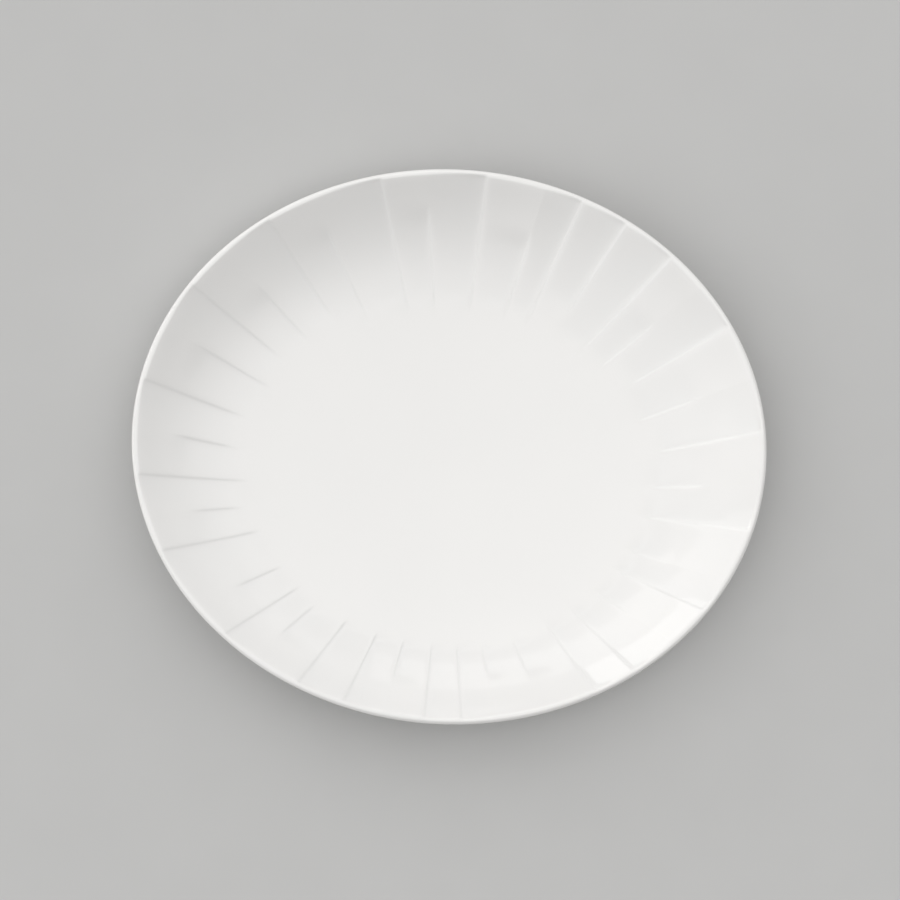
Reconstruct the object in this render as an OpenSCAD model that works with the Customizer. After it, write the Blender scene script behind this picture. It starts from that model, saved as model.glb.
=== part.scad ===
// Oval coupe plate in glazed white porcelain, in millimetres, standing on its foot at z = 0.
// The long axis is X and the back of the plate is +Y. The well lies a little in front of the
// rim's middle, and the wall is pleated: every crease aims at one spot in the well.

/* [Plate] */
// Length over the rim
plate_l = 280; // [230:1:340]
// Width over the rim
plate_w = 245; // [200:1:290]
// Height from the table to the top of the rim
plate_h = 27; // [22:0.5:32]
// Thickness of the wall at the rim
rim_t = 4; // [3:0.1:5.5]
// Thickness of the floor under the well
floor_t = 4.6; // [3.6:0.1:6.5]

/* [Well] */
// Length of the flat well as a share of the plate's length
well_l_share = 0.62; // [0.54:0.01:0.68]
// Width of the flat well as a share of the plate's width
well_w_share = 0.6; // [0.54:0.01:0.66]
// Shift of the well towards the front as a share of the plate's width
well_shift_share = 0.053; // [0:0.001:0.07]

/* [Pleats] */
// Step down of the wall at a crease, going round counter-clockwise
pleat_depth = 0.85; // [0.3:0.05:1.2]
// Width of that step at the rim
flank_w = 2.2; // [1.5:0.1:4]
// Shift of the creases' aim towards the front as a share of the plate's width
aim_share = 0.078; // [0:0.001:0.1]

/* [Foot] */
// Height of the foot ring
foot_h = 3; // [2:0.1:4.5]
// Width of the foot ring's flat edge
foot_edge = 3.6; // [3:0.1:5]
// How far each side of the foot ring spreads towards the floor
foot_flare = 1.4; // [0.5:0.1:2]
// Length of the foot ring as a share of the well's length
foot_share = 0.94; // [0.8:0.01:0.98]

/* [Glaze] */
// Thickness of the glaze
glaze_t = 0.35; // [0.25:0.05:0.5]
// Height of the foot ring's bare edge
bare_h = 1; // [0.6:0.1:1.5]

/* [Hidden] */

// Each crease: its direction from the aim in degrees, and the shares of the wall where it begins
// and ends. The ones that end at 1 run out over the lip.
creases = [
    [5, 0, 0.6], [14.5, 0.1, 1], [24, 0, 0.65], [34, 0.1, 1], [42.7, 0, 0.63], [50, 0, 1],
    [60, 0.18, 1], [68.8, 0, 1], [75.8, 0, 0.72], [86.7, 0, 1], [97.8, 0, 0.83], [106, 0, 1],
    [118.8, 0, 0.85], [127.5, 0.1, 1], [136.8, 0.05, 0.7], [145.4, 0.1, 1], [154, 0, 0.79],
    [164.2, 0.1, 1], [172.8, 0.1, 0.74], [181.5, 0, 1], [189, 0.1, 0.68], [196.5, 0, 1],
    [209, 0, 0.64], [217.5, 0, 1], [225.3, 0.05, 0.69], [236.8, 0, 1], [248.4, 0, 1],
    [258.4, 0, 0.64], [268.8, 0, 1], [278, 0, 1], [286.8, 0.05, 0.58], [298, 0.05, 0.64],
    [310.7, 0, 1], [320.3, 0, 1], [330, 0, 0.5], [339, 0, 1], [346, 0, 0.5], [356.5, 0, 1]
];
crease_count = len(creases);

// A crease takes three columns of points: the top of its step, the bottom, and the middle of the
// panel that rises evenly from there to the next crease.
STEP_TOP = 0;
STEP_BOTTOM = 1;
crease_columns = 3;
columns = crease_columns * crease_count;

// The two sides of the foot ring
OUTER = 1;
INNER = -1;

// Half sizes and centres of the three ovals
rim_oval = [plate_l / 2, plate_w / 2, 0];
well_oval = [plate_l * well_l_share / 2, plate_w * well_w_share / 2, -plate_w * well_shift_share];
foot_oval = [well_oval[0] * foot_share, well_oval[1] * foot_share, well_oval[2]];
aim = [0, -plate_w * aim_share];

// The wall curves up to this share of its run, and is straight from there to the lip.
curve_share = 0.9;
end_steepness = 1 / (1 - curve_share / 2);
// A crease grows to its full depth over this share of the wall, and a short one fades over the other.
grow_share = 0.18;
fade_share = 0.18;
// A long crease fades out over this share of the lip's turn.
lip_fade = 0.3;
// A crease's step has this share of its width at the edge of the well.
flank_start = 0.6;
lip_r = rim_t / 2;
well_z = foot_h + floor_t;
flank_angle = flank_w / plate_w * 2 * 180 / PI;
// Depth that is ground off the foot ring after firing
ground_t = 0.3;

// Where the rings of points run: shares of the wall going out, of the lip's turn, and coming back
wall_steps = [0, 0.12, 0.24, 0.36, 0.48, 0.6, 0.72, 0.85, 1];
lip_steps = [0.15, 0.42, 0.7, 1];
under_steps = [0.75, 0.5, 0.25, 0];

// Distance from the aim to an oval in one direction
function reach(oval, angle) =
    let (
        along = [cos(angle) / oval[0], sin(angle) / oval[1]],
        from = [aim[0] / oval[0], (aim[1] - oval[2]) / oval[1]],
        half = (along * from) / (along * along),
        rest = (from * from - 1) / (along * along)
    )
    sqrt(half * half - rest) - half;

function smooth(x) = let (u = min(max(x, 0), 1)) u * u * (3 - 2 * u);

// Depth of one crease at a share of the wall
function depth_at(crease, share) =
    let (grown = pleat_depth * smooth((share - crease[1]) / grow_share))
    crease[2] == 1 ? grown : grown * smooth((crease[2] - share) / fade_share);

// Angle that a crease's step takes up
function flank(share) = flank_angle * (flank_start + (1 - flank_start) * share);

// Direction of a column: the top of the step lies clockwise of the crease.
function column_angle(column, share) =
    let (
        i = floor(column / crease_columns),
        kind = column % crease_columns,
        here = creases[i][0],
        next = i + 1 < crease_count ? creases[i + 1][0] : creases[0][0] + 360
    )
    kind == STEP_TOP ? here - flank(share) / 2
    : kind == STEP_BOTTOM ? here + flank(share) / 2
    : (here + next) / 2;

// How far the pleats sink a column below the plain wall
function sunk(column, share) =
    let (depth = depth_at(creases[floor(column / crease_columns)], share), kind = column % crease_columns)
    kind == STEP_TOP ? 0 : kind == STEP_BOTTOM ? depth : depth / 2;

// Rise of the plain wall from 0 to 1, and its steepness
function rise(share) =
    share < curve_share ? end_steepness * share * share / (2 * curve_share)
    : end_steepness * (share - curve_share / 2);
function steepness(share) = end_steepness * min(share / curve_share, 1);

// Tilt of the wall where it meets the lip, in one direction
function lip_tilt(angle) =
    let (
        run = reach(rim_oval, angle) - reach(well_oval, angle) - lip_r,
        first = atan(end_steepness * (plate_h - well_z) / run),
        true_run = run - lip_r * sin(first),
        true_rise = plate_h - lip_r + lip_r * cos(first) - well_z
    )
    atan(end_steepness * true_rise / true_run);

// Point at a distance from the aim
function place(angle, distance, z) =
    [aim[0] + distance * cos(angle), aim[1] + distance * sin(angle), z];

// Point of the plain wall, moved towards the inside of the porcelain by a depth
function wall_point(angle, share, depth, drop) =
    let (
        tilt = lip_tilt(angle),
        start = reach(well_oval, angle),
        run = reach(rim_oval, angle) - lip_r - lip_r * sin(tilt) - start,
        climb = plate_h - lip_r + lip_r * cos(tilt) - well_z,
        slope = atan(steepness(share) * climb / run),
        distance = start + run * share + depth * sin(slope),
        z = well_z + climb * rise(share) - depth * cos(slope)
    )
    place(angle, distance, z - drop);

// Point on the round lip, from the wall over the top to the underside
function lip_point(angle, turn, depth, drop) =
    let (
        bearing = 90 + lip_tilt(angle) - 180 * turn,
        centre = reach(rim_oval, angle) - lip_r,
        r = lip_r - depth
    )
    place(
        angle,
        centre + r * cos(bearing),
        plate_h - lip_r + r * sin(bearing) - drop * (1 - smooth(turn / lip_fade))
    );

all_columns = [for (column = [0 : columns - 1]) column];

// Rings of points over the plate's skin, from the well over the rim to the foot.
// A depth of 0 is the glazed surface, and the glaze's thickness is the bare porcelain.
function face_rings(depth) = [
    for (share = wall_steps)
        [for (c = all_columns) wall_point(column_angle(c, share), share, depth, sunk(c, share))]
];
function rim_rings(depth) = [
    for (turn = lip_steps)
        [for (c = all_columns) lip_point(column_angle(c, 1), turn, depth, sunk(c, 1))]
];
function under_rings(depth) = [
    for (share = under_steps)
        let (thick = floor_t + (rim_t - floor_t) * share - depth)
        [for (c = all_columns) wall_point(column_angle(c, 1), share, thick, 0)]
];

// Ring of points on the foot's outer or inner side, moved into the porcelain by a depth.
// Both sides spread as they rise, away from the middle of the foot's edge.
function foot_side(side, depth, z) =
    let (half = foot_edge / 2 + foot_flare * z / foot_h - depth)
    [
        for (c = all_columns)
            let (angle = column_angle(c, 1))
            place(angle, reach(foot_oval, angle) - foot_edge / 2 - foot_flare + side * half, z)
    ];
function skin_rings(depth) = concat(
    face_rings(depth), rim_rings(depth), under_rings(depth), [foot_side(OUTER, depth, foot_h + depth)]
);

function reversed(list) = [for (i = [len(list) - 1 : -1 : 0]) list[i]];
function joined(lists) = [for (list = lists) for (item = list) item];

// Closed solid through a stack of rings, with a flat cap at the first and the last
module loft(rings) {
    first = rings[0];
    last = rings[len(rings) - 1];
    points = concat(joined(rings), [[aim[0], aim[1], first[0][2]], [aim[0], aim[1], last[0][2]]]);
    hub = len(rings) * columns;
    bottom = hub - columns;
    sides = [
        for (r = [0 : len(rings) - 2])
            for (c = all_columns)
                let (
                    d = (c + 1) % columns,
                    a = r * columns + c,
                    b = r * columns + d,
                    e = a + columns,
                    f = b + columns
                )
                each norm(points[a] - points[f]) < norm(points[b] - points[e])
                    ? [[a, b, f], [a, f, e]]
                    : [[a, b, e], [b, f, e]]
    ];
    caps = [
        for (c = all_columns)
            let (d = (c + 1) % columns)
            each [[hub, d, c], [hub + 1, bottom + c, bottom + d]]
    ];
    polyhedron(points, concat(sides, caps), convexity = 8);
}

// The fired body in one piece: floor, pleated wall, lip and a foot ring that is ground flat
module porcelain_body() {
    color("#e9e3d8")
    difference() {
        loft(concat(
            skin_rings(glaze_t),
            [
                foot_side(OUTER, glaze_t, -ground_t),
                foot_side(INNER, glaze_t, -ground_t),
                foot_side(INNER, glaze_t, foot_h + glaze_t)
            ]
        ));
        translate([-plate_l, -plate_w, -plate_h]) cube([2 * plate_l, 2 * plate_w, plate_h]);
    }
}

// The glaze over the well, the wall, the lip and the underside, down to the foot's bare edge
module glaze_coat() {
    color("#f4f3f0")
    loft(concat(
        skin_rings(0),
        [foot_side(OUTER, 0, bare_h), foot_side(OUTER, glaze_t, bare_h)],
        reversed(skin_rings(glaze_t))
    ));
}

// The glaze inside the foot ring, with a short skirt down its inner side
module foot_recess_glaze() {
    color("#f1f0ec")
    loft([
        foot_side(INNER, glaze_t, foot_h + glaze_t),
        foot_side(INNER, glaze_t, bare_h),
        foot_side(INNER, 0, bare_h),
        foot_side(INNER, 0, foot_h)
    ]);
}

porcelain_body();
glaze_coat();
foot_recess_glaze();
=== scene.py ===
import collections
import functools
import math

import bmesh
import bpy
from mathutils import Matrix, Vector


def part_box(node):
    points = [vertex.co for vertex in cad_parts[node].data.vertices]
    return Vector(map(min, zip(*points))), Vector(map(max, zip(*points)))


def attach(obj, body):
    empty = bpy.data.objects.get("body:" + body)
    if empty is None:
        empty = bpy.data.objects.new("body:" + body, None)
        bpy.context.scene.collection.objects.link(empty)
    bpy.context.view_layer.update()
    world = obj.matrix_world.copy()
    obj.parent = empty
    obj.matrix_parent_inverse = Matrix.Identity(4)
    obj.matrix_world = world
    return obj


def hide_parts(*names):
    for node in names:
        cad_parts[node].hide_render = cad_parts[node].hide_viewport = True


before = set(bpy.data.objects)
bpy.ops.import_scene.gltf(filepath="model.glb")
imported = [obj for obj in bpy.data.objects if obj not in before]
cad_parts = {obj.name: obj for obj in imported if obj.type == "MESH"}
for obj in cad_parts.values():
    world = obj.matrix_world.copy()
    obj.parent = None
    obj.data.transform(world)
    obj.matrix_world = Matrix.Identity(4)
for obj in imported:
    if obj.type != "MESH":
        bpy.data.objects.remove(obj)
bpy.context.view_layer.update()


# The porcelain body is the fired plate itself, white china shaped and fired in one piece.
# It carries the glaze everywhere but on the narrow edge of its foot ring, which is ground
# flat after the firing so that the plate stands still and doesn't scratch the table.
glaze_low, glaze_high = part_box("glaze_coat")
body_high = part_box("porcelain_body")[1]
GLAZE_THICKNESS = glaze_high.z - body_high.z
RIM_HEIGHT = glaze_high.z
RIM_THICKNESS = 0.004
LIP_RADIUS = RIM_THICKNESS / 2
FLOOR_THICKNESS = 0.0046
FOOT_HEIGHT = 0.003
FOOT_EDGE = 0.0036
FOOT_FLARE = 0.0014
FOOT_FILLET = 0.0008
GROUND_EDGE = 0.0003
WELL_HEIGHT = FOOT_HEIGHT + FLOOR_THICKNESS

# The rim, the well and the foot are ovals. The well and the foot lie a little towards the front,
# and so does the point that the creases aim at.
Oval = collections.namedtuple("Oval", "half_length half_width shift")
WELL_LENGTH_SHARE = 0.62
WELL_WIDTH_SHARE = 0.6
WELL_SHIFT_SHARE = 0.106
FOOT_SHARE = 0.94
AIM_SHARE = 0.156
RIM = Oval((glaze_high.x - glaze_low.x) / 2, (glaze_high.y - glaze_low.y) / 2, 0)
WELL = Oval(
    RIM.half_length * WELL_LENGTH_SHARE,
    RIM.half_width * WELL_WIDTH_SHARE,
    -RIM.half_width * WELL_SHIFT_SHARE,
)
FOOT = Oval(WELL.half_length * FOOT_SHARE, WELL.half_width * FOOT_SHARE, WELL.shift)
AIM_Y = -RIM.half_width * AIM_SHARE

# The wall curves up over this share of its run and is straight from there to the lip.
CURVE_SHARE = 0.9
END_STEEPNESS = 1 / (1 - CURVE_SHARE / 2)

# Each crease: its direction from the aim in degrees, and the shares of the wall where it begins
# and ends. The ones that end at 1 run out over the lip.
CREASES = (
    (5, 0, 0.6), (14.5, 0.1, 1), (24, 0, 0.65), (34, 0.1, 1), (42.7, 0, 0.63), (50, 0, 1),
    (60, 0.18, 1), (68.8, 0, 1), (75.8, 0, 0.72), (86.7, 0, 1), (97.8, 0, 0.83), (106, 0, 1),
    (118.8, 0, 0.85), (127.5, 0.1, 1), (136.8, 0.05, 0.7), (145.4, 0.1, 1), (154, 0, 0.79),
    (164.2, 0.1, 1), (172.8, 0.1, 0.74), (181.5, 0, 1), (189, 0.1, 0.68), (196.5, 0, 1),
    (209, 0, 0.64), (217.5, 0, 1), (225.3, 0.05, 0.69), (236.8, 0, 1), (248.4, 0, 1),
    (258.4, 0, 0.64), (268.8, 0, 1), (278, 0, 1), (286.8, 0.05, 0.58), (298, 0.05, 0.64),
    (310.7, 0, 1), (320.3, 0, 1), (330, 0, 0.5), (339, 0, 1), (346, 0, 0.5), (356.5, 0, 1),
)

# A crease is a step in the wall, part of it a narrow core and part a wider halo. The creases are
# shallowest on the left, where they lose a share of their depth.
PLEAT_DEPTH = 0.0012
LEFT_DIP = 0.42
SHALLOWEST = 160
CORE_WIDTH = 0.0006
HALO_WIDTH = 0.0024
HALO_SHARE = 0.5

# Shares of the wall over which a crease grows and a short one fades, and the share of the lip's
# round over which the others run out
GROW_SHARE = 0.18
FADE_SHARE = 0.18
LIP_FADE = 0.3

# Columns of points from one crease to the next, how much they crowd at the creases, and rings of
# points on each stretch of the skin
STEPS_PER_CREASE = 20
CROWDING = 2.2
WELL_RINGS = 6
WALL_RINGS = 32
LIP_RINGS = 14
UNDER_RINGS = 8
FILLET_RINGS = 3
MERGE_DISTANCE = 0.000002


def smooth(x):
    """Ease from 0 to 1."""
    x = min(max(x, 0), 1)
    return x * x * (3 - 2 * x)


@functools.cache
def reach(oval, angle):
    """Distance from the creases' aim to an oval."""
    along = Vector((math.cos(angle) / oval.half_length, math.sin(angle) / oval.half_width))
    start = Vector((0, (AIM_Y - oval.shift) / oval.half_width))
    half = along.dot(start) / along.dot(along)
    rest = (start.dot(start) - 1) / along.dot(along)
    return math.sqrt(half * half - rest) - half


def place(angle, distance, z):
    """Point at an angle and a distance from the creases' aim."""
    return Vector((distance * math.cos(angle), AIM_Y + distance * math.sin(angle), z))


def pleat_depth(crease, share):
    """Depth of a crease at a share of the wall."""
    angle, begin, end = crease
    leftward = max(math.cos(math.radians(angle - SHALLOWEST)), 0)
    grown = PLEAT_DEPTH * (1 - LEFT_DIP * leftward) * smooth((share - begin) / GROW_SHARE)
    return grown if end == 1 else grown * smooth((end - share) / FADE_SHARE)


@functools.cache
def column(turn):
    """Angle of a column of points, with its panel. The columns crowd together at the creases."""
    panel, part = divmod(turn / math.tau * len(CREASES), 1)
    panel = int(panel) % len(CREASES)
    here = math.radians(CREASES[panel][0])
    there = math.radians(CREASES[(panel + 1) % len(CREASES)][0])
    there += math.tau if there < here else 0
    half = (there - here) / 2
    if part < 0.5:
        angle = here + half * (2 * part) ** CROWDING
    else:
        angle = there - half * (2 - 2 * part) ** CROWDING
    return angle, panel, here, there


def fall(distance):
    """Part of a crease's step that lies behind a point at a distance past the crease."""
    core = distance / math.hypot(distance, CORE_WIDTH)
    halo = distance / math.hypot(distance, HALO_WIDTH)
    return 0.5 + 0.5 * (core + (halo - core) * HALO_SHARE)


@functools.cache
def sunk(turn, share):
    """How far the pleats lie below the plain wall. Going round counter-clockwise, the wall steps
    down at each crease, and the panel behind it rises evenly to the next."""
    angle, panel, here, there = column(turn)
    radius = reach(WELL, angle) * (1 - share) + reach(RIM, angle) * share
    past = (angle - here) * radius
    ahead = (there - angle) * radius
    behind = pleat_depth(CREASES[panel], share) * fall(past) * ahead / (past + ahead)
    return behind + pleat_depth(CREASES[(panel + 1) % len(CREASES)], share) * fall(-ahead)


@functools.cache
def lip_tilt(angle):
    """Tilt of the wall where it meets the lip."""
    run = reach(RIM, angle) - reach(WELL, angle) - LIP_RADIUS
    first = math.atan(END_STEEPNESS * (RIM_HEIGHT - WELL_HEIGHT) / run)
    run -= LIP_RADIUS * math.sin(first)
    climb = RIM_HEIGHT - LIP_RADIUS + LIP_RADIUS * math.cos(first) - WELL_HEIGHT
    return math.atan(END_STEEPNESS * climb / run)


def wall(angle, share, depth):
    """Point of the plain wall, moved into the porcelain by a depth."""
    tilt = lip_tilt(angle)
    start = reach(WELL, angle)
    run = reach(RIM, angle) - LIP_RADIUS - LIP_RADIUS * math.sin(tilt) - start
    climb = RIM_HEIGHT - LIP_RADIUS + LIP_RADIUS * math.cos(tilt) - WELL_HEIGHT
    if share < CURVE_SHARE:
        rise = END_STEEPNESS * share * share / (2 * CURVE_SHARE)
    else:
        rise = END_STEEPNESS * (share - CURVE_SHARE / 2)
    slope = math.atan(END_STEEPNESS * min(share / CURVE_SHARE, 1) * climb / run)
    distance = start + run * share + depth * math.sin(slope)
    return place(angle, distance, WELL_HEIGHT + climb * rise - depth * math.cos(slope))


def pole(turn, z):
    """Point where all the columns meet."""
    return Vector((0, AIM_Y, z))


def well(turn, share, depth):
    """Point of the flat well."""
    angle = column(turn)[0]
    return place(angle, reach(WELL, angle) * share, WELL_HEIGHT - depth)


def face(turn, share, depth):
    """Point of the pleated wall."""
    point = wall(column(turn)[0], share, depth)
    point.z -= sunk(turn, share)
    return point


def lip(turn, share, depth):
    """Point of the half round that joins the wall's inner and outer sides."""
    angle = column(turn)[0]
    bearing = math.pi / 2 + lip_tilt(angle) - math.pi * share
    centre = reach(RIM, angle) - LIP_RADIUS
    radius = LIP_RADIUS - depth
    height = RIM_HEIGHT - LIP_RADIUS + radius * math.sin(bearing)
    point = place(angle, centre + radius * math.cos(bearing), height)
    point.z -= sunk(turn, 1) * (1 - smooth(share / LIP_FADE))
    return point


def under(turn, share, depth):
    """Point of the wall's smooth underside."""
    thickness = FLOOR_THICKNESS + (RIM_THICKNESS - FLOOR_THICKNESS) * share
    return wall(column(turn)[0], share, thickness - depth)


OUTER = 1
INNER = -1


def foot(turn, side, depth, z):
    """Point on the foot's outer or inner side. Both spread as they rise."""
    angle = column(turn)[0]
    half = FOOT_EDGE / 2 + FOOT_FLARE * z / FOOT_HEIGHT - depth
    return place(angle, reach(FOOT, angle) - FOOT_EDGE / 2 - FOOT_FLARE + side * half, z)


def fillet(turn, side, depth, share):
    """Point of the hollow where the foot's side runs into the plate's underside."""
    corner = foot(turn, side, depth, FOOT_HEIGHT + depth)
    out = (corner - Vector((0, AIM_Y, corner.z))).normalized()
    start = corner + out * side * FOOT_FILLET
    end = foot(turn, side, depth, FOOT_HEIGHT + depth - FOOT_FILLET)
    return start.lerp(corner, share).lerp(corner.lerp(end, share), share)


def skin(depth):
    """Rings of the plate's skin, from the middle of the well over the rim to the foot."""
    rings = [(pole, WELL_HEIGHT - depth)]
    rings += [(well, n / WELL_RINGS, depth) for n in range(1, WELL_RINGS)]
    rings += [(face, n / WALL_RINGS, depth) for n in range(WALL_RINGS + 1)]
    rings += [(lip, n / LIP_RINGS, depth) for n in range(1, LIP_RINGS + 1)]
    rings += [(under, 1 - n / UNDER_RINGS, depth) for n in range(1, UNDER_RINGS + 1)]
    rings += [(fillet, OUTER, depth, n / FILLET_RINGS) for n in range(FILLET_RINGS + 1)]
    return rings


def wrapped(name, rings):
    """Wrap a grid round the plate: its columns crowd at the creases, and its rows are the rings."""
    bm = bmesh.new()
    painted_crease_shade = bm.verts.layers.float.new("painted_crease_shade")
    last = len(rings) - 1
    columns = STEPS_PER_CREASE * len(CREASES)
    bmesh.ops.create_grid(bm, x_segments=columns, y_segments=last, size=0.5)
    for vert in bm.verts:
        turn = (vert.co.x + 0.5) * math.tau
        make, *where = rings[round((vert.co.y + 0.5) * last)]
        vert.co = make(turn, *where)
        # Points of the pleated wall keep how far they lie below the plain wall, which the glaze uses for
        # painted shade in the creases.
        if make is face:
            vert[painted_crease_shade] = sunk(turn, where[0]) / PLEAT_DEPTH
    bmesh.ops.remove_doubles(bm, verts=bm.verts, dist=MERGE_DISTANCE)
    bmesh.ops.recalc_face_normals(bm, faces=bm.faces)
    for polygon in bm.faces:
        polygon.smooth = True
    mesh = bpy.data.meshes.new(name)
    bm.to_mesh(mesh)
    bm.free()
    piece = bpy.data.objects.new(name, mesh)
    bpy.context.collection.objects.link(piece)
    return piece


class Shade:
    """A socket of a material's nodes. Sums, products and comparisons of shades add Math nodes."""

    def __init__(self, tree, socket=None):
        self.tree = tree
        self.socket = socket

    def add(self, kind, settings=(), inputs=(), output=0):
        """Add a node of any kind: its settings first, then its sockets' values or links."""
        node = self.tree.nodes.new(kind)
        for name, value in dict(settings).items():
            setattr(node, name, value)
        for name, value in dict(inputs).items():
            if isinstance(value, Shade):
                self.tree.links.new(value.socket, node.inputs[name])
            else:
                node.inputs[name].default_value = value
        return Shade(self.tree, node.outputs[output])

    def math(self, operation, first, second):
        return self.add("ShaderNodeMath", {"operation": operation}, {0: first, 1: second})

    def __add__(self, other):
        return self.math("ADD", self, other)

    def __mul__(self, other):
        return self.math("MULTIPLY", self, other)

    def __truediv__(self, other):
        return self.math("DIVIDE", self, other)

    def __rtruediv__(self, other):
        return self.math("DIVIDE", other, self)

    def __lt__(self, other):
        return self.math("LESS_THAN", self, other)

    def __gt__(self, other):
        return self.math("GREATER_THAN", self, other)

    __radd__ = __add__
    __rmul__ = __mul__

    def between(self, low, high):
        """Spread this shade from one number to another."""
        return low + (high - low) * self

    def noise(self, scale, detail):
        """Noise over the piece, from the place of a point on it."""
        inputs = {"Vector": self, "Scale": scale, "Detail": detail}
        return self.add("ShaderNodeTexNoise", inputs=inputs)

    def mix(self, first, second):
        """Mix two colours by this shade."""
        return self.add(
            "ShaderNodeMix", {"data_type": "RGBA"},
            {"Factor": self, 6: first, 7: second}, output=2,
        )

    def bump(self, strength, distance):
        """Turn this shade, as a height, into a bumped normal."""
        inputs = {"Height": self, "Strength": strength, "Distance": distance}
        return self.add("ShaderNodeBump", inputs=inputs)


def material(name):
    """A new material: its shader's sockets, and the place of a point on the piece."""
    made = bpy.data.materials.new(name)
    made.use_nodes = True
    shader = made.node_tree.nodes["Principled BSDF"]
    place_on_piece = Shade(made.node_tree).add("ShaderNodeTexCoord", output=3)
    return made, shader, place_on_piece


def link(shade, socket):
    """Let a shade feed a shader's socket."""
    shade.tree.links.new(shade.socket, socket)


body = wrapped("fired_body", skin(GLAZE_THICKNESS) + [
    (foot, OUTER, GLAZE_THICKNESS, GROUND_EDGE),
    (foot, OUTER, GLAZE_THICKNESS + GROUND_EDGE, 0),
    (foot, INNER, GLAZE_THICKNESS + GROUND_EDGE, 0),
    (foot, INNER, GLAZE_THICKNESS, GROUND_EDGE),
    (fillet, INNER, GLAZE_THICKNESS, 1),
    (fillet, INNER, GLAZE_THICKNESS, 0.5),
    (fillet, INNER, GLAZE_THICKNESS, 0),
    (pole, FOOT_HEIGHT + GLAZE_THICKNESS),
])
DARK_BISQUE = (0.74, 0.70, 0.63, 1)
PALE_BISQUE = (0.82, 0.785, 0.72, 1)
RUBBED_GREY = (0.62, 0.60, 0.57, 1)
RUBBED_MOST = 0.5
bisque, shader, point = material("bare_porcelain")
grain = point.noise(scale=2400, detail=4)
rubbed = point.noise(scale=140, detail=3) * RUBBED_MOST
cream = grain.mix(DARK_BISQUE, PALE_BISQUE)
link(rubbed.mix(cream, RUBBED_GREY), shader.inputs["Base Color"])
link(grain.between(0.55, 0.75), shader.inputs["Roughness"])
link(grain.bump(strength=0.3, distance=0.00005), shader.inputs["Normal"])
body.data.materials.append(bisque)
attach(body, "root")
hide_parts("porcelain_body")


# The glaze is a clear gloss glass fused over the well, the pleated wall, the lip and the
# underside. Its white is painted darker and cooler where the pleated wall lies lowest, on the low
# side of each crease, as painted shade in the creases, and it was wiped off the foot ring before the
# firing.
BARE_HEIGHT = glaze_low.z
glaze = wrapped("glaze_coat_skin", skin(0) + [
    (foot, OUTER, 0, BARE_HEIGHT),
    (foot, OUTER, GLAZE_THICKNESS, BARE_HEIGHT),
    *reversed(skin(GLAZE_THICKNESS)),
])
DIM_WHITE = (0.84, 0.835, 0.824, 1)
CLEAR_WHITE = (0.87, 0.863, 0.85, 1)
# Painted shade in the creases: a darker, cooler white, and how far the glaze's white goes towards it at
# most.
CREASE_SHADE_TINT = (0.77, 0.785, 0.79, 1)
CREASE_SHADE_MOST = 0.12
IRON_BROWN = (0.30, 0.25, 0.20, 1)
SPECK_STRENGTH = 0.6
SPECK_SIZE = 0.016
PLAIN_CELLS = 0.96
GLASS_IOR = 1.52
clear_glaze, shader, point = material("clear_glaze")
clouds = point.noise(scale=16, detail=3)
white = clouds.mix(DIM_WHITE, CLEAR_WHITE)
# Painted shade: the white goes darker and cooler where the pleated wall lies below the plain wall, on the
# low side of each crease.
crease_shade_mask = point.add("ShaderNodeAttribute", {"attribute_name": "painted_crease_shade"}, output=2)
crease_shaded_white = (crease_shade_mask * CREASE_SHADE_MOST).mix(white, CREASE_SHADE_TINT)

# The surface is parted into cells, and a few of them hold an iron speck.
cells = {"Vector": point, "Scale": 70}
from_middle = point.add("ShaderNodeTexVoronoi", inputs=cells)
lot = point.add("ShaderNodeTexVoronoi", inputs=cells, output=1)
speck = (from_middle < SPECK_SIZE) * (lot > PLAIN_CELLS)
link((speck * SPECK_STRENGTH).mix(crease_shaded_white, IRON_BROWN), shader.inputs["Base Color"])
link(point.noise(scale=60, detail=2).between(0.045, 0.075), shader.inputs["Roughness"])
uneven = point.noise(scale=160, detail=1)
link(uneven.bump(strength=0.03, distance=0.0003), shader.inputs["Normal"])
shader.inputs["IOR"].default_value = GLASS_IOR
glaze.data.materials.append(clear_glaze)
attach(glaze, "root")
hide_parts("glaze_coat")


# The same glaze coats the shallow recess inside the foot ring. The bare foot edge parts it
# from the rest, and it ends in a short skirt down the ring's inner side.
recess = wrapped("foot_recess_skin", [
    (pole, FOOT_HEIGHT + GLAZE_THICKNESS),
    (fillet, INNER, GLAZE_THICKNESS, 0),
    (fillet, INNER, GLAZE_THICKNESS, 0.5),
    (fillet, INNER, GLAZE_THICKNESS, 1),
    (foot, INNER, GLAZE_THICKNESS, BARE_HEIGHT),
    (foot, INNER, 0, BARE_HEIGHT),
    (fillet, INNER, 0, 1),
    (fillet, INNER, 0, 0.67),
    (fillet, INNER, 0, 0.33),
    (fillet, INNER, 0, 0),
    (pole, FOOT_HEIGHT),
])
recess.data.materials.append(clear_glaze)
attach(recess, "root")
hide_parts("foot_recess_glaze")


# A plain pale table top stands under the plate. It is matt and a little mottled, and so wide
# that its edges stay out of sight.
TABLE_SIZE = 6
TABLE_GREY = (0.52, 0.52, 0.515, 1)
TABLE_PALE = (0.54, 0.54, 0.535, 1)
TABLE_ROUGHNESS = 0.8
bm = bmesh.new()
bmesh.ops.create_grid(bm, x_segments=1, y_segments=1, size=TABLE_SIZE / 2)
mesh = bpy.data.meshes.new("table_top")
bm.to_mesh(mesh)
bm.free()
table = bpy.data.objects.new("table_top", mesh)
bpy.context.collection.objects.link(table)
matt, shader, point = material("pale_table")
mottled = point.noise(scale=30, detail=2)
link(mottled.mix(TABLE_GREY, TABLE_PALE), shader.inputs["Base Color"])
shader.inputs["Roughness"].default_value = TABLE_ROUGHNESS
mesh.materials.append(matt)


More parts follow.
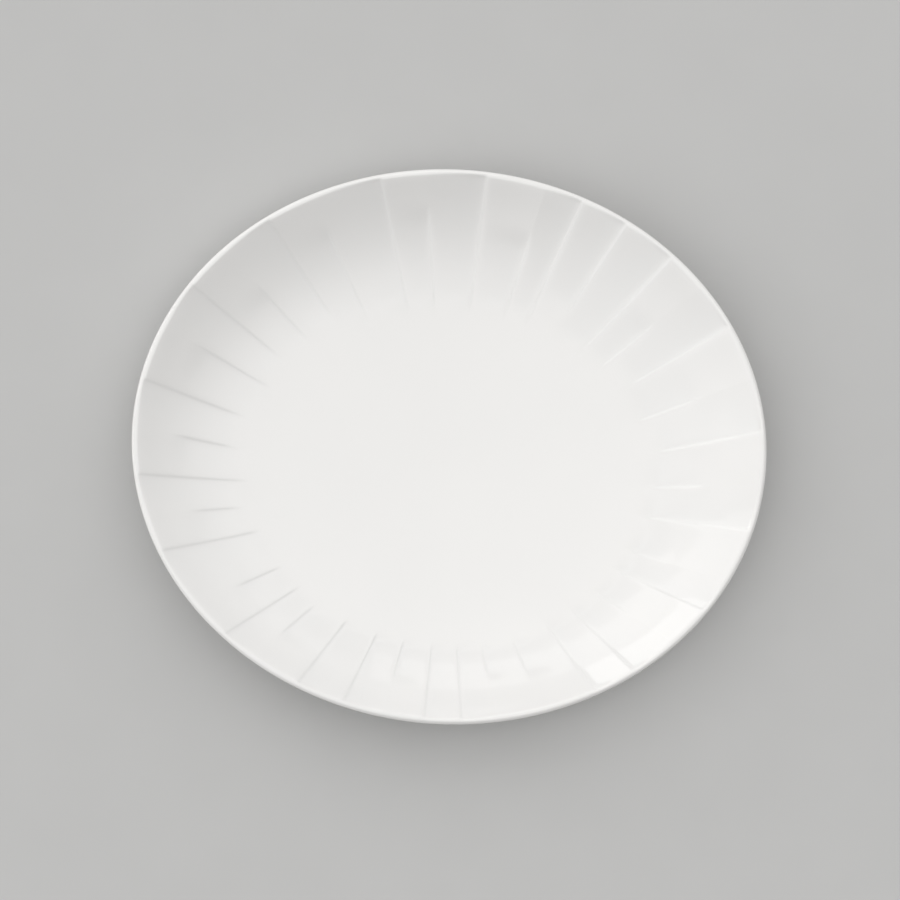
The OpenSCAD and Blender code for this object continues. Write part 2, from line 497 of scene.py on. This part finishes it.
# The light is a wide pale dome, dark in front on the right and dimmer towards the horizon, with soft
# light from behind on the right and from the left. Behind on the left it has a dim part with two windows,
# which the wall at the lower right mirrors. A low bright strip on the left picks out the creases.
DAYLIGHT = (1, 0.996, 0.991, 1)
WINDOW_EDGE = 0.01
world = bpy.data.worlds.new("studio_dome")
world.use_nodes = True
bpy.context.scene.world = world
sky = Shade(world.node_tree)
direction = sky.add("ShaderNodeTexCoord", output=0)
height = sky.add("ShaderNodeSeparateXYZ", inputs={0: direction}, output=2)


def toward(turn, elevation):
    """How far the sky's direction leans to one that is given in degrees: 1 is straight at it."""
    turn = math.radians(turn)
    elevation = math.radians(elevation)
    flat = math.cos(elevation)
    aim = (flat * math.cos(turn), flat * math.sin(turn), math.sin(elevation))
    return sky.add(
        "ShaderNodeVectorMath", {"operation": "DOT_PRODUCT"}, {0: direction, 1: aim}, output=1,
    )


def ramp(shade, start, end, first, last):
    """Let a shade go smoothly from one value to another."""
    return sky.add(
        "ShaderNodeMapRange", {"interpolation_type": "SMOOTHSTEP"},
        {"Value": shade, "From Min": start, "From Max": end, "To Min": first, "To Max": last},
    )


def patch(turn, elevation, edge, core, outside, inside):
    """A round part of the sky with a soft edge. Its place and its two radii are in degrees."""
    start = math.cos(math.radians(edge))
    end = math.cos(math.radians(core))
    return ramp(toward(turn, elevation), start, end, outside, inside)


def window(turn, right, left, low, top, radiance):
    """An upright window that faces the plate. Its sides are given in shares of its distance."""
    ahead = toward(turn, 0)
    across = toward(turn + 90, 0) / ahead
    up = height / ahead
    light = ramp(ahead, 0, 2 * WINDOW_EDGE, 0, radiance)
    light = light * ramp(across, right - WINDOW_EDGE, right + WINDOW_EDGE, 0, 1)
    light = light * ramp(across, left - WINDOW_EDGE, left + WINDOW_EDGE, 1, 0)
    light = light * ramp(up, low - WINDOW_EDGE, low + WINDOW_EDGE, 0, 1)
    return light * ramp(up, top - WINDOW_EDGE, top + WINDOW_EDGE, 1, 0)


dome = patch(turn=309, elevation=5, edge=72, core=35, outside=1.64, inside=0)
dome = dome * ramp(height, start=0, end=0.98, first=0.05, last=1)
dome = dome * patch(turn=129, elevation=37, edge=52, core=37, outside=1, inside=0.46)
right_light = patch(turn=60, elevation=4, edge=47, core=15, outside=0, inside=0.7)
left_light = patch(turn=192, elevation=30, edge=20, core=3, outside=0, inside=0.45)
back_window = window(turn=105, right=-0.36, left=2.3, low=0.33, top=1.33, radiance=0.75)
low_window = window(turn=148, right=-0.58, left=-0.02, low=0.07, top=0.345, radiance=1.9)
strip = window(turn=172, right=-0.45, left=0.7, low=0.07, top=0.16, radiance=5.8)
windows = sky.math("MAXIMUM", back_window, low_window)
background = world.node_tree.nodes["Background"]
link(dome + right_light + left_light + windows + strip, background.inputs["Strength"])
background.inputs["Color"].default_value = DAYLIGHT


# The camera looks almost straight down, with the plate a little high in the frame and its
# long axis turned a little clockwise.
IMAGE_SIZE = 900
PIXELS_PER_METRE = 2273.6
RIM_CENTRE_PIXEL = (449.1, 445.3)
CAMERA_TURN = math.radians(4.2)
CAMERA_ELEVATION = math.radians(87)
CAMERA_DISTANCE = 1.3
camera_data = bpy.data.cameras.new("camera")
camera_data.sensor_width = 36
camera_data.lens = camera_data.sensor_width * CAMERA_DISTANCE * PIXELS_PER_METRE / IMAGE_SIZE
camera = bpy.data.objects.new("camera", camera_data)
bpy.context.collection.objects.link(camera)
back = Vector((
    math.sin(CAMERA_TURN) * math.cos(CAMERA_ELEVATION),
    -math.cos(CAMERA_TURN) * math.cos(CAMERA_ELEVATION),
    math.sin(CAMERA_ELEVATION),
))
camera.rotation_mode = "QUATERNION"
camera.rotation_quaternion = (-back).to_track_quat("-Z", "Y")
right = camera.rotation_quaternion @ Vector((1, 0, 0))
up = camera.rotation_quaternion @ Vector((0, 1, 0))
target = Vector((0, 0, RIM_HEIGHT))
target += right * (IMAGE_SIZE / 2 - RIM_CENTRE_PIXEL[0]) / PIXELS_PER_METRE
target -= up * (IMAGE_SIZE / 2 - RIM_CENTRE_PIXEL[1]) / PIXELS_PER_METRE
camera.location = target + back * CAMERA_DISTANCE
bpy.context.scene.camera = camera
bpy.context.scene.view_settings.view_transform = "Standard"
